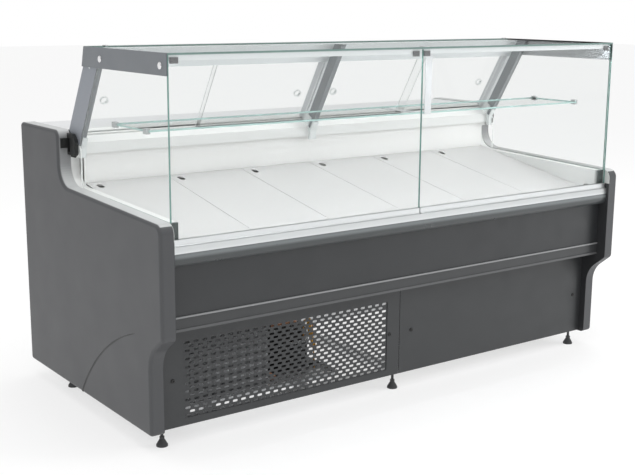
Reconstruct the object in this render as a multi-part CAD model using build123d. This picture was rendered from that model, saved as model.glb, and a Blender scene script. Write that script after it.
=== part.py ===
"""Refrigerated serve-over deli case with a straight glass front and sliding rear doors.

Units are millimetres and +Z is up.  X runs along the case and is 0 at its middle.
The customer's side faces -Y and the origin is on the floor, at the middle of the case.
Sections across the case are written as (distance behind the case's front, height).
"""
from build123d import *
import math
import os

os.makedirs("parts", exist_ok=True)

# ---------------------------------------------------------------- overall sizes
case_length = 2040
case_depth = 1050
glass_top = 1240
worktop_height = 950

# ---------------------------------------------------------------- side panels
panel_thickness = 48
panel_bottom = 61
panel_leg_front = 86
nose_bottom = 392
nose_front_top = 744
slope_end_height = 768
slope_bend = 72
shoulder = 722
panel_top = 955
panel_edge_radius = 11
panel_corner = 14
panel_nose_radius = 32
inlay_depth = 2.5
inlay_foot_width = 11
inlay_tip_width = 3

# ---------------------------------------------------------------- insulated tub
tub_bottom = 405
tub_floor_thickness = 45
tub_front = 50
tub_front_wall = 45
tub_rear = 790
tub_rear_wall = 45
tub_front_height = 650
tub_rear_height = 861
end_wall_thickness = 32
end_wall_drop = 3
glass_seat_gap = 0.1
sheet = 2
drain_x = 450
drain_behind = 450
drain_radius = 16
drain_neck_radius = 18
drain_wall = 3
drain_length = 110
riser_x = -305
riser_behind = 620
riser_radius = 7

# ---------------------------------------------------------------- front trims
bumper_nose = 12
bumper_bottom = 609
fascia_front = 45
fascia_sheet = 3
fascia_bottom = 447
rail_lip = 5
rail_bottom = 400
rail_rear = 119
sill_rear = 97
sill_crest = 681
plinth_front = 113
plinth_bottom = 64
plinth_seam = 2
plinth_sheet = 2
plinth_fold = 12
plinth_screw_x = 46
plinth_screw_height = 220
screw_head_radius = 7
screw_head_height = 3

# ---------------------------------------------------------------- grille
grille_left = 886
grille_right = 58
grille_bottom = 88
grille_top = 342
grille_border = 14
grille_sheet = 1.5
slot_length = 19
slot_height = 8
slot_pitch = 32
row_pitch = 13.5

# ---------------------------------------------------------------- base frame and feet
frame_bottom = 61
rail_height = 20
rail_width = 40
front_rail_middle = 147
rear_rail_middle = 829
unit_rail_places = (-760, -380)
upright_size = 40
foot_radius = 19
foot_height = 24
stem_radius = 5
stem_clearance = 0.08
stem_above_rail = 24

# ---------------------------------------------------------------- glass superstructure
glass = 6
glass_edge_gap = 2
pane_front = 22
pane_gap = 2
hinge_behind_front = 21
hinge_height = 671
hinge_bead_radius = 5
hinge_clearance = 0.4
hinge_body_bottom = 682
hinge_body_top = 692
bracket_plate = 5
bracket_drop = 66
bracket_rear_top = 582
bracket_rear_bottom = 601
cap_radius = 11
cap_height = 5
top_glass_rear = 588
lamp_front = 34
lamp_depth = 30
lamp_height = 17
lamp_wall = 6
clamp_height = 18
shelf_front = 175
shelf_depth = 240
shelf_height = 1003
clip_length = 14
clip_depth = 22
clip_wall = 6
hanger_middle = 160
hanger_width = 30

# ---------------------------------------------------------------- rear posts, beam and doors
lean = math.radians(30.8)
beam_front = 668
beam_lip = 913
beam_lip_bottom = 877
beam_top = 953
beam_rear = 766
cap_thickness = 2
cap_outside = 14
cap_front = 662
cap_top = 944
cap_tail = 25
cap_tail_depth = 5
post_thickness = 20
post_front_n = -14.6
post_width = 90
post_groove_n = 26
post_groove_width = 14
post_groove_depth = 3
shoe_cheek = 4
shoe_cheek_height = 40
shoe_toe = 6
shoe_stem = 16
rail_front_n = 30
top_rail_start = 278
door_glass = 5
track_width = 9
front_track_n = 44.5
rear_track_n = 59.5
track_depth = 8
door_end_gap = 2
door_overlap = 26
pull_radius = 15
pull_height = 130
pull_from_end = 75

# ---------------------------------------------------------------- display deck and duct
deck_front = 98
deck_front_height = 666
deck_rear = 686
deck_rear_height = 774
deck_panels = 6
deck_gap = 2
finger_slot_width = 22
finger_slot_length = 36
finger_slot_from_edge = 35
finger_slot_from_rear = 46
deck_fold = 12
deck_metal = 1.5
duct_front = 690

# ---------------------------------------------------------------- worktop and controls
worktop_rear = 1042
worktop_thickness = 30
rear_panel_behind = 1000
apron = 26
control_x = 430
control_half = 150
control_low = 790
control_high = 880
control_depth = 30
rocker_x = 530
rocker_half_width = 11
rocker_half_height = 16
rocker_tilt = 8
rocker_pivot_depth = 5
rocker_pin_radius = 2
rocker_pin_clearance = 0.05

# ---------------------------------------------------------------- places worked out from the sizes
inner_half = case_length / 2 - panel_thickness
liner_half = inner_half - end_wall_thickness
glass_half = inner_half - glass_edge_gap
frame_top = frame_bottom + rail_height
stem_top = frame_top + stem_above_rail
foot_x = inner_half - rail_width / 2 - 1
tub_floor = tub_bottom + tub_floor_thickness
tub_inner_front = tub_front + tub_front_wall
tub_inner_rear = tub_rear - tub_rear_wall
pane_rear = pane_front + glass
top_glass_bottom = glass_top - glass
post_inner_face = glass_half - post_thickness


# ---------------------------------------------------------------- drawing helpers
def behind(distance):
    """Y of a place that is this far behind the case's front."""
    return distance - case_depth / 2


def outline(points):
    """Closed face in the plane across the case, from (behind front, height, corner radius)."""
    corners = [(behind(point[0]), point[1]) for point in points]
    radii = [point[2] if len(point) > 2 else 0 for point in points]
    if any(radii):
        edges = FilletPolyline(*corners, radius=radii, close=True)
    else:
        edges = Polyline(*corners, close=True)
    return Plane.YZ * make_face(edges)


def along(face, low_x, high_x):
    """A section across the case, run along it from low_x to high_x."""
    return Pos(low_x, 0, 0) * extrude(face, amount=high_x - low_x, dir=(1, 0, 0))


def block(low_x, high_x, front, rear, low_z, high_z):
    """A box given by its limits; front and rear are distances behind the case's front."""
    size = (high_x - low_x, rear - front, high_z - low_z)
    middle = ((low_x + high_x) / 2, behind((front + rear) / 2), (low_z + high_z) / 2)
    return Pos(*middle) * Box(*size)


def rod_z(x, distance, low_z, high_z, radius):
    return Pos(x, behind(distance), (low_z + high_z) / 2) * Cylinder(radius, high_z - low_z)


def rod_y(x, front, rear, z, radius):
    return Pos(x, behind((front + rear) / 2), z) * Rot(90, 0, 0) * Cylinder(radius, rear - front)


def rod_x(low_x, high_x, distance, z, radius):
    return Pos((low_x + high_x) / 2, behind(distance), z) * Rot(0, 90, 0) * Cylinder(radius, high_x - low_x)


def tube(points, radius, bend):
    """A round tube along straight runs joined by arcs of one radius."""
    path = FilletPolyline(*[(x, behind(d), z) for x, d, z in points], radius=bend)
    start = Plane(origin=path @ 0, z_dir=path % 0)
    return sweep(start * Circle(radius), path=path)


def leaning(n, s):
    """A place in the rear posts' own directions: n towards the rear, s up along the lean."""
    distance = beam_front + n * math.cos(lean) - s * math.sin(lean)
    height = beam_lip + n * math.sin(lean) + s * math.cos(lean)
    return distance, height


def leaning_at_height(n, height):
    """The place on the post line n that is at this height."""
    s = (height - beam_lip - n * math.sin(lean)) / math.cos(lean)
    return leaning(n, s)


def leaning_box(low_n, high_n, low_s, high_s):
    return outline([leaning(low_n, low_s), leaning(high_n, low_s),
                    leaning(high_n, high_s), leaning(low_n, high_s)])


def mirrored(shape):
    """The same piece at the other end of the case."""
    return mirror(shape, about=Plane.YZ)


def save(name, *shapes):
    """Writes one node; several shapes stay separate solids."""
    solids = [solid for shape in shapes for solid in shape.solids()]
    node = solids[0] if len(solids) == 1 else Compound(children=solids)
    export_step(node, f"parts/{name}.step")


# ---------------------------------------------------------------- side panels
def slope_height(distance):
    """Height of the side panel's sloping edge."""
    return nose_front_top + (slope_end_height - nose_front_top) * distance / shoulder


def panel_outline():
    return outline([
        (panel_leg_front, panel_bottom, panel_corner),
        (panel_leg_front, nose_bottom - 68, 100),
        (0, nose_bottom, 18),
        (0, nose_front_top, panel_nose_radius),
        (shoulder, slope_end_height, slope_bend),
        (shoulder, panel_top, 24),
        (case_depth, panel_top, panel_corner),
        (case_depth, panel_bottom, panel_corner),
    ])


def inlay_face(spare):
    """Tapering arc on the outer face, from the panel's foot up to a fine tip near its front."""
    foot_middle = (593, panel_bottom + 3)
    crown = (424, 247)
    tip = (180, 375)
    foot_half = inlay_foot_width / 2 + spare
    tip_half = inlay_tip_width / 2 + spare
    crown_half = (foot_half + tip_half) / 2
    outer = ThreePointArc((behind(foot_middle[0] + foot_half), foot_middle[1]),
                          (behind(crown[0] + crown_half * 0.7), crown[1] + crown_half * 0.7),
                          (behind(tip[0]), tip[1] + tip_half))
    inner = ThreePointArc((behind(tip[0]), tip[1] - tip_half),
                          (behind(crown[0] - crown_half * 0.7), crown[1] - crown_half * 0.7),
                          (behind(foot_middle[0] - foot_half), foot_middle[1]))
    ends = [Line(outer @ 1, inner @ 0), Line(inner @ 1, outer @ 0)]
    return Plane.YZ * make_face([outer, ends[0], inner, ends[1]])


def side_panel():
    panel = along(panel_outline(), inner_half, case_length / 2)
    outer_edges = panel.faces().sort_by(Axis.X)[-1].edges()
    panel = fillet(outer_edges, panel_edge_radius)
    groove = along(inlay_face(0), case_length / 2 - inlay_depth, case_length / 2 + 1)
    return panel - groove


def side_inlay():
    return along(inlay_face(-0.2), case_length / 2 - inlay_depth, case_length / 2 - 0.6)


right_panel = side_panel()
save("right_side_panel", right_panel)
save("left_side_panel", mirrored(right_panel))


# ---------------------------------------------------------------- insulated tub
def tub():
    trough = outline([
        (tub_front, tub_bottom), (tub_rear, tub_bottom), (tub_rear, tub_rear_height),
        (tub_inner_rear, tub_rear_height), (tub_inner_rear, tub_floor), (tub_inner_front, tub_floor),
        (tub_inner_front, tub_front_height), (tub_front, tub_front_height),
    ])
    body = along(trough, -liner_half, liner_half)
    drain_hole = rod_z(drain_x, drain_behind, tub_bottom - 1, tub_floor + 1, drain_neck_radius)
    pipe_hole = rod_z(riser_x, riser_behind, tub_bottom - 1, tub_floor + 1, riser_radius + 3)
    return body - drain_hole - pipe_hole


def below_slope(drop):
    """Everything under the side panel's sloping edge, lowered by drop."""
    return outline([
        (pane_rear + 5, tub_bottom), (pane_rear + 5, slope_height(pane_rear + 5) - drop),
        (shoulder, slope_end_height - drop, slope_bend), (shoulder, panel_top - drop), (tub_rear, panel_top - drop),
        (tub_rear, tub_bottom),
    ])


def end_wall():
    sill_cut = outline([(0, tub_bottom - 1), (tub_front, tub_bottom - 1), (tub_front, tub_front_height),
                        (sill_rear + 1, tub_front_height), (sill_rear + 1, sill_crest + 1), (0, sill_crest + 1)])
    beam_cut = outline([(duct_front, tub_rear_height), (tub_rear + 1, tub_rear_height),
                        (tub_rear + 1, panel_top), (shoulder - 60, panel_top), (duct_front - 30, tub_rear_height)])
    return along(below_slope(end_wall_drop) - sill_cut - beam_cut, liner_half, inner_half)


right_wall = end_wall()
save("insulated_tub", tub())
save("end_walls", right_wall, mirrored(right_wall))


def drain_pipe():
    """Flanged outlet with a thicker neck through the tub's floor and a plain spigot below."""
    flange = rod_z(drain_x, drain_behind, tub_floor, tub_floor + 3, drain_neck_radius + 12)
    neck = rod_z(drain_x, drain_behind, tub_bottom - 3, tub_floor + 1, drain_neck_radius)
    low_end = tub_bottom - 3 - drain_length
    spigot = rod_z(drain_x, drain_behind, low_end, tub_floor, drain_radius)
    bore = rod_z(drain_x, drain_behind, low_end - 1, tub_floor + 4, drain_radius - drain_wall)
    return flange + neck + spigot - bore


save("drain_pipe", drain_pipe())


# ---------------------------------------------------------------- front trims
def bumper():
    nose = [
        Line((behind(fascia_front), bumper_bottom), (behind(bumper_nose + 14), bumper_bottom)),
        ThreePointArc((behind(bumper_nose + 14), bumper_bottom), (behind(bumper_nose), bumper_bottom + 21),
                      (behind(bumper_nose + 3), tub_front_height)),
        Line((behind(bumper_nose + 3), tub_front_height), (behind(tub_front), tub_front_height)),
        Line((behind(tub_front), tub_front_height), (behind(tub_front), bumper_bottom + 20)),
        Line((behind(tub_front), bumper_bottom + 20), (behind(fascia_front), bumper_bottom)),
    ]
    return along(Plane.YZ * make_face(nose), -inner_half, inner_half)


def around_hinge(radius, degrees):
    """A place round the pane hinge; 0 degrees points to the rear and 90 degrees up."""
    turn = math.radians(degrees)
    return hinge_behind_front + radius * math.cos(turn), hinge_height + radius * math.sin(turn)


def glass_sill():
    socket_radius = hinge_bead_radius + hinge_clearance
    profile = outline([
        (bumper_nose, tub_front_height), (bumper_nose, tub_front_height + 5),
        (hinge_behind_front - 8, hinge_height + 1, 2), (hinge_behind_front, hinge_height + 6),
        (pane_rear, sill_crest), (pane_rear + 9, sill_crest, 3), (sill_rear, deck_front_height, 2),
        (sill_rear, tub_front_height),
    ])
    socket = Plane.YZ * Pos(behind(hinge_behind_front), hinge_height) * Circle(socket_radius)
    opening = outline([(hinge_behind_front, hinge_height), around_hinge(30, 62), around_hinge(30, 120),
                       around_hinge(30, 176)])
    return along(profile - socket - opening, -inner_half, inner_half)


def fascia():
    return block(-inner_half, inner_half, fascia_front, fascia_front + fascia_sheet, fascia_bottom, bumper_bottom)


def fascia_rail():
    outer = fascia_front - rail_lip
    profile = outline([
        (outer, fascia_bottom), (outer, fascia_bottom - rail_lip), (outer + 3, fascia_bottom - rail_lip - 2),
        (outer + 3, rail_bottom + 10), (outer, rail_bottom + 8), (outer, rail_bottom), (rail_rear, rail_bottom),
        (rail_rear, rail_bottom + 3), (outer + 8, rail_bottom + 3), (outer + 8, fascia_bottom),
    ])
    return along(profile, -inner_half, inner_half)


save("bumper_rail", bumper())
save("glass_sill", glass_sill())
save("fascia_panel", fascia())
save("fascia_rail", fascia_rail())


# ---------------------------------------------------------------- plinth and grille
def plinth_half(low_x, high_x):
    """A sheet with its top edge folded back under the rail."""
    face = block(low_x, high_x, plinth_front, plinth_front + plinth_sheet, plinth_bottom, rail_bottom)
    fold = block(low_x, high_x, plinth_front, plinth_front + plinth_fold, rail_bottom - plinth_sheet, rail_bottom)
    return face + fold


def grille_panel():
    sheet_metal = plinth_half(-inner_half, -plinth_seam / 2)
    window = block(-grille_left, -grille_right, plinth_front - 1, plinth_front + plinth_sheet + 1,
                   grille_bottom, grille_top)
    return sheet_metal - window


def perforated_grille():
    """A flat sheet behind the window, with rows of round-ended slots, every other row shifted."""
    width = grille_left - grille_right + 2 * grille_border
    height = grille_top - grille_bottom + 2 * grille_border
    columns = int((grille_left - grille_right - slot_length) // slot_pitch) + 1
    rows = int((grille_top - grille_bottom - slot_height) // row_pitch) + 1
    slot = SlotOverall(slot_length, slot_height)
    places = []
    for row in range(rows):
        shifted = row % 2
        for column in range(columns - shifted):
            x = (column - (columns - 1 - shifted) / 2) * slot_pitch
            z = (row - (rows - 1) / 2) * row_pitch
            places.append(Pos(x, z))
    perforated = Rectangle(width, height) - [place * slot for place in places]
    middle = (-(grille_left + grille_right) / 2, behind(plinth_front + plinth_sheet + grille_sheet),
              (grille_bottom + grille_top) / 2)
    upright = Plane(origin=middle, x_dir=(1, 0, 0), z_dir=(0, -1, 0))
    return extrude(upright * perforated, amount=grille_sheet)


def plinth_screws():
    places = (-(inner_half - plinth_screw_x), -plinth_screw_x, plinth_screw_x + 10, inner_half - plinth_screw_x)
    screws = []
    for x in places:
        head_front = plinth_front - screw_head_height
        head = rod_y(x, head_front, plinth_front, plinth_screw_height, screw_head_radius)
        head = chamfer(head.faces().sort_by(Axis.Y)[0].edges(), 1.2)
        socket = rod_y(x, head_front - 1, plinth_front - 1, plinth_screw_height, screw_head_radius / 3)
        screws.append(head - socket)
    return screws


save("plinth_grille_panel", grille_panel())
save("perforated_grille", perforated_grille())
save("plinth_blank_panel", plinth_half(plinth_seam / 2, inner_half))
save("plinth_screws", *plinth_screws())


# ---------------------------------------------------------------- base frame and feet
def feet_places():
    return [(x, d) for d in (front_rail_middle, rear_rail_middle) for x in (-foot_x, 0, foot_x)]


def base_frame():
    half = rail_width / 2
    frame = block(-inner_half + 1, inner_half - 1, front_rail_middle - half, front_rail_middle + half,
                  frame_bottom, frame_top)
    frame += block(-inner_half + 1, inner_half - 1, rear_rail_middle - half, rear_rail_middle + half,
                   frame_bottom, frame_top)
    for x in (-foot_x, 0, foot_x, *unit_rail_places):
        frame += block(x - half, x + half, front_rail_middle, rear_rail_middle, frame_bottom, frame_top)
    for x, d in feet_places():
        top = tub_bottom if d == front_rail_middle else worktop_height - worktop_thickness
        frame += block(x - upright_size / 2, x + upright_size / 2, d - upright_size / 2, d + upright_size / 2,
                       frame_top, top)
        frame -= rod_z(x, d, frame_bottom - 1, stem_top + 2, stem_radius + stem_clearance)
    return frame


def levelling_foot(x, d):
    bell = revolve(Plane.XZ * make_face(Polyline((0, 0), (foot_radius, 0), (foot_radius, 5), (8, foot_height),
                                                 (0, foot_height), close=True)), Axis.Z)
    nut = Pos(0, 0, foot_height + 4) * extrude(RegularPolygon(9, 6), amount=4, both=True)
    stem = Pos(0, 0, (foot_height + stem_top) / 2) * Cylinder(stem_radius, stem_top - foot_height)
    return Pos(x, behind(d), 0) * (bell + nut + stem)


save("base_frame", base_frame())
foot_names = ("foot_front_left", "foot_front_middle", "foot_front_right",
              "foot_rear_left", "foot_rear_middle", "foot_rear_right")
for foot_name, (x, d) in zip(foot_names, feet_places()):
    save(foot_name, levelling_foot(x, d))


# ---------------------------------------------------------------- rear beam, posts and top rail
def track_cuts(low_s, high_s):
    """The two grooves that the sliding doors run in."""
    return [leaning_box(n - track_width / 2, n + track_width / 2, low_s, high_s)
            for n in (front_track_n, rear_track_n)]


def rear_beam():
    slope_n = (beam_top - beam_lip) / math.sin(lean)
    profile = outline([
        (beam_front, beam_lip_bottom), (beam_front, beam_lip), leaning(slope_n, 0), (beam_rear, beam_top),
        (beam_rear, tub_rear_height), (duct_front + sheet, tub_rear_height), (duct_front + sheet, beam_lip_bottom),
    ])
    for groove in track_cuts(-track_depth, 1):
        profile -= groove
    return along(profile, -glass_half + cap_thickness, glass_half - cap_thickness)


def beam_end_cap():
    """Dark moulded cap over the beam's end: an upright block with a slot, and a tail on the panel's rim."""
    slope_n = (beam_top - beam_lip) / math.sin(lean)
    plate = outline([
        (beam_front, beam_lip_bottom, 4), (beam_front, beam_lip), leaning(slope_n, 0), (beam_rear, beam_top),
        (beam_rear, tub_rear_height + 0.5), (duct_front, tub_rear_height + 0.5),
    ])
    upright = outline([
        (cap_front, beam_lip_bottom - 6, 12), (cap_front, beam_lip + 12, 12), (cap_front + 22, cap_top, 10),
        (shoulder, cap_top, 2), (shoulder, beam_lip_bottom - 6, 2),
    ])
    slot = outline([(shoulder - 20, beam_lip_bottom + 3, 4), (shoulder - 20, beam_lip + 14, 4),
                    (shoulder - 5, beam_lip + 14, 4), (shoulder - 5, beam_lip_bottom + 3, 4)])
    outside = glass_half + cap_outside
    cap = along(plate, glass_half - cap_thickness, glass_half) + along(upright, glass_half, outside)
    cap -= along(slot, outside - 8, outside + 1)
    return cap + block(outside - 1, outside + cap_tail, shoulder - cap_tail_depth, shoulder,
                       beam_lip - 19, beam_lip + 14)


right_cap = beam_end_cap()
right_inlay = side_inlay()
save("rear_beam", rear_beam())
save("dark_trims", right_inlay, mirrored(right_inlay), right_cap, mirrored(right_cap))


def post(low_x, high_x):
    """Flat aluminium extrusion, notched at the top for the door rail, with a groove down each side."""
    rear_n = post_front_n + post_width
    shape = outline([
        leaning(post_front_n, 0), leaning(rear_n, 0), leaning(rear_n, top_rail_start),
        leaning(rail_front_n, top_rail_start), leaning_at_height(rail_front_n, top_glass_bottom),
        leaning_at_height(post_front_n, top_glass_bottom),
    ])
    body = along(shape, low_x, high_x)
    groove = leaning_box(post_groove_n, post_groove_n + post_groove_width, -5, top_rail_start + 80)
    for face_x in (low_x, high_x):
        if abs(face_x) < glass_half:
            body -= along(groove, face_x - post_groove_depth, face_x + post_groove_depth)
    return body


def post_shoe(low_x, high_x):
    """Cast shoe that clamps a post's foot to the beam's front edge."""
    cheek = leaning_box(2, front_track_n - track_width / 2 - 2, 0, shoe_cheek_height)
    toe_front = post_front_n - shoe_toe
    toe_top = shoe_cheek_height - shoe_toe
    stem_front = beam_front - shoe_stem
    toe = outline([leaning(toe_front, 0), leaning(post_front_n, 0), leaning(post_front_n, toe_top),
                   leaning(toe_front, toe_top)])
    stem = outline([(stem_front, tub_rear_height + 4), (beam_front, tub_rear_height + 4),
                    (beam_front, beam_lip - 8), (stem_front, beam_lip - 16)])
    link = outline([(stem_front, beam_lip - 18), (beam_front, beam_lip - 9), leaning(0, 0),
                    leaning(toe_front, 0)])
    inside_glass = min(high_x, glass_half - glass - 1)
    shoe = along(toe, low_x, inside_glass) + along(stem, low_x, inside_glass) + along(link, low_x, inside_glass)
    for face_low, face_high in ((low_x, low_x + shoe_cheek), (high_x - shoe_cheek, high_x)):
        if max(abs(face_low), abs(face_high)) < glass_half:
            shoe += along(cheek, face_low, face_high)
    return shoe


half_post = post_thickness / 2
right_post = post(post_inner_face, glass_half)
save("middle_post", post(-half_post, half_post))
save("right_post", right_post)
save("left_post", mirrored(right_post))


def fixed_shoes():
    middle = post_shoe(-half_post - shoe_cheek, half_post + shoe_cheek)
    right = post_shoe(post_inner_face - shoe_cheek, glass_half)
    posts = post(-half_post, half_post) + right_post
    return middle - posts, right - posts, mirrored(right - posts)


save("post_shoes", *fixed_shoes())


def top_rail():
    rear_n = post_front_n + post_width
    profile = outline([
        leaning(rail_front_n, top_rail_start), leaning(rear_n, top_rail_start),
        leaning_at_height(rear_n, top_glass_bottom), leaning_at_height(rail_front_n, top_glass_bottom),
    ])
    for groove in track_cuts(top_rail_start - 1, top_rail_start + 2 * track_depth):
        profile -= groove
    return along(profile, -glass_half, glass_half)


save("top_rail", top_rail())


# ---------------------------------------------------------------- sliding doors
def sliding_door(low_x, high_x, n, pull_x):
    """A glass door with a round finger cup let into it."""
    pane = along(leaning_box(n - door_glass / 2, n + door_glass / 2, -track_depth + 2,
                             top_rail_start + 2 * track_depth - 4), low_x, high_x)
    middle_d, middle_z = leaning(n, pull_height)
    facing = Plane(origin=(pull_x, behind(middle_d), middle_z), x_dir=(1, 0, 0),
                   z_dir=(0, math.cos(lean), math.sin(lean)))
    hole = facing * Cylinder(pull_radius - 2, door_glass + 2)
    flange_thickness = 1.5
    cup = facing * Cylinder(pull_radius - 2, door_glass)
    for side in (-1, 1):
        offset = side * (door_glass + flange_thickness) / 2
        cup += facing * Pos(0, 0, offset) * Cylinder(pull_radius, flange_thickness)
    cup -= facing * Pos(0, 0, door_glass / 2) * Cylinder(pull_radius - 5, door_glass)
    return pane - hole, cup


bay_low = half_post + door_end_gap
bay_high = post_inner_face - door_end_gap
door_width = (bay_high - bay_low + door_overlap) / 2
door_travel = bay_high - bay_low - door_width

save("right_bay_inner_door", *sliding_door(bay_low, bay_low + door_width, front_track_n,
                                           bay_low + pull_from_end - door_end_gap))
save("right_bay_outer_door", *sliding_door(bay_high - door_width, bay_high, rear_track_n,
                                           bay_high - pull_from_end + door_end_gap))
save("left_bay_inner_door", *sliding_door(-bay_low - door_width, -bay_low, front_track_n,
                                          -bay_low - pull_from_end + door_end_gap))
save("left_bay_outer_door", *sliding_door(-bay_high, -bay_high + door_width, rear_track_n,
                                          -bay_high + pull_from_end - door_end_gap))


# ---------------------------------------------------------------- top glass, end glass and brackets
def bracket_outline():
    return outline([
        (pane_front + 2, glass_top - bracket_drop), (pane_front + 2, glass_top),
        (bracket_rear_top, glass_top), (bracket_rear_bottom, glass_top - bracket_drop),
    ])


right_bracket = along(bracket_outline(), glass_half, glass_half + bracket_plate)
save("top_brackets", right_bracket, mirrored(right_bracket))
save("top_glass", block(-glass_half, glass_half, pane_front, top_glass_rear, top_glass_bottom, glass_top))


def end_glass():
    rear_foot = leaning(post_front_n, 0)
    full = outline([
        (pane_rear + 1, tub_front_height), (pane_rear + 1, top_glass_bottom),
        leaning_at_height(post_front_n, top_glass_bottom), rear_foot,
        (rear_foot[0] - 8, rear_foot[1] - 14), (rear_foot[0] - 8, tub_front_height),
    ])
    drop = end_wall_drop - glass_seat_gap
    slope = outline([
        (0, tub_bottom), (0, slope_height(0) - drop), (shoulder, slope_end_height - drop, slope_bend),
        (shoulder, panel_top - drop), (tub_rear, panel_top - drop), (tub_rear, tub_bottom),
    ])
    return along(full - slope, glass_half - glass, glass_half)


right_end_glass = end_glass()
save("right_end_glass", right_end_glass)
save("left_end_glass", mirrored(right_end_glass))


def fixing_caps():
    """Polished caps over the bracket bolts, and over the two bolts of the top glass."""
    caps = []
    for side in (-1, 1):
        face = side * (glass_half + bracket_plate)
        for distance, z in ((56, glass_top - 37), (456, glass_top - 36)):
            low, high = sorted((face, face + side * cap_height))
            cap = rod_x(low, high, distance, z, cap_radius)
            outer = cap.faces().sort_by(Axis.X)[-1 if side > 0 else 0]
            caps.append(fillet(outer.edges(), 2))
        head = rod_z(side * (glass_half - 57), top_glass_rear - 38, glass_top, glass_top + 4, 9)
        caps.append(fillet(head.faces().sort_by(Axis.Z)[-1].edges(), 1.5))
    return caps


save("glass_fixing_caps", *fixing_caps())


# ---------------------------------------------------------------- front panes
def pane_profile():
    """Slim profile under a pane, with a round bead that turns in the sill's socket."""
    bead = Plane.YZ * Pos(behind(hinge_behind_front), hinge_height) * Circle(hinge_bead_radius)
    neck = outline([(hinge_behind_front - 2, hinge_height), (hinge_behind_front - 2, hinge_body_bottom + 2),
                    (hinge_behind_front + 2, hinge_body_bottom + 2), (hinge_behind_front + 2, hinge_height)])
    body = outline([(pane_front - 3, hinge_body_bottom, 1), (pane_front - 3, hinge_body_top, 1),
                    (pane_rear + 3, hinge_body_top, 1), (pane_rear + 3, hinge_body_bottom, 1)])
    slot = outline([(pane_front, hinge_body_bottom + 3), (pane_front, hinge_body_top + 1),
                    (pane_rear, hinge_body_top + 1), (pane_rear, hinge_body_bottom + 3)])
    return bead + neck + body - slot


pane_inner_x = pane_gap / 2
right_pane = block(pane_inner_x, glass_half, pane_front, pane_rear, hinge_body_bottom + 3, top_glass_bottom - 1)
right_profile = along(pane_profile(), pane_inner_x + 1, glass_half - 1)
save("right_front_pane", right_pane)
save("left_front_pane", mirrored(right_pane))
save("right_pane_profile", right_profile)
save("left_pane_profile", mirrored(right_profile))


# ---------------------------------------------------------------- lamp, clamps, shelf and hanger
def lamp_housing():
    """Aluminium lamp profile under the front of the top glass, with a diffuser set in its underside."""
    low_z = top_glass_bottom - lamp_height
    body = block(-glass_half + glass + 1, glass_half - glass - 1, lamp_front, lamp_front + lamp_depth,
                 low_z, top_glass_bottom)
    half = glass_half - 2 * glass
    channel_front = lamp_front + lamp_wall
    channel_rear = lamp_front + lamp_depth - lamp_wall
    channel = block(-half, half, channel_front, channel_rear, low_z - 1, low_z + 5)
    diffuser = block(-half, half, channel_front, channel_rear, low_z + 1, low_z + 5)
    return body - channel, diffuser


save("lamp_housing", *lamp_housing())


def glass_clamps():
    """Pane catches on the lamp's front face, and clips on the end glass that hold the shelf."""
    pieces = []
    low_z = top_glass_bottom - lamp_height - 8
    for low_x, high_x in ((11, 37), (glass_half - 38, glass_half - 12)):
        catch = block(low_x, high_x, pane_rear + 0.4, lamp_front, low_z, low_z + clamp_height)
        pieces += [catch, mirrored(catch)]
    inner = glass_half - glass
    for distance in (shelf_front + 2, shelf_front + shelf_depth - clip_depth - 2):
        clip = block(inner - clip_length, inner, distance, distance + clip_depth,
                     shelf_height - glass - clip_wall, shelf_height + clip_wall)
        clip -= block(inner - clip_length - 1, shelf_half, distance - 1, distance + clip_depth + 1,
                      shelf_height - glass, shelf_height)
        pieces += [clip, mirrored(clip)]
    return pieces


shelf_half = glass_half - 2 * glass - 2
save("glass_clamps", *glass_clamps())
save("glass_shelf", block(-shelf_half, shelf_half, shelf_front, shelf_front + shelf_depth,
                          shelf_height - glass, shelf_height))


def shelf_hanger():
    """Strap from the top glass down to an arm that carries the shelf near mid-span."""
    strap = 3
    front = shelf_front - strap - 0.5
    shelf_bottom = shelf_height - glass
    profile = outline([
        (front, shelf_bottom - strap), (shelf_front + shelf_depth, shelf_bottom - strap),
        (shelf_front + shelf_depth, shelf_bottom), (front + strap, shelf_bottom),
        (front + strap, top_glass_bottom - strap), (front + 36, top_glass_bottom - strap),
        (front + 36, top_glass_bottom), (front, top_glass_bottom),
    ])
    return along(profile, hanger_middle - hanger_width / 2, hanger_middle + hanger_width / 2)


save("shelf_hanger", shelf_hanger())


# ---------------------------------------------------------------- duct panel and deck
def duct_panel():
    """Back wall of the display space, folded forward under the deck's rear edge."""
    ledge = deck_rear_height - 16
    profile = outline([
        (duct_front, tub_floor + 30), (duct_front + sheet, tub_floor + 30), (duct_front + sheet, beam_lip_bottom),
        (duct_front, beam_lip_bottom), (duct_front, ledge), (duct_front - 14, ledge), (duct_front - 14, ledge - sheet),
        (duct_front, ledge - sheet),
    ])
    return along(profile, -liner_half + 1, liner_half - 1)


def deck_panel(low_x, high_x):
    """Folded sheet tray that slopes down to the front, with one finger slot near its rear corner."""
    rise = deck_rear_height - deck_front_height
    run = deck_rear - deck_front
    slope = math.atan2(rise, run)

    def on_deck(t, depth):
        return (deck_front + t * math.cos(slope) + depth * math.sin(slope),
                deck_front_height + t * math.sin(slope) - depth * math.cos(slope))

    length = math.hypot(rise, run) - 4
    fold = deck_fold
    metal = deck_metal
    profile = outline([
        on_deck(0, fold), on_deck(0, 0), on_deck(length, 0), on_deck(length, fold),
        on_deck(length - metal, fold), on_deck(length - metal, metal), on_deck(metal, metal), on_deck(metal, fold),
    ])
    tray = along(profile, low_x, high_x)
    slot_x = low_x + finger_slot_from_edge
    slot_behind = deck_rear - finger_slot_from_rear
    slot = Pos(slot_x, behind(slot_behind), deck_front_height) * Rot(0, 0, 90) * extrude(
        SlotOverall(finger_slot_length, finger_slot_width), amount=2 * rise)
    return tray - slot


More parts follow.
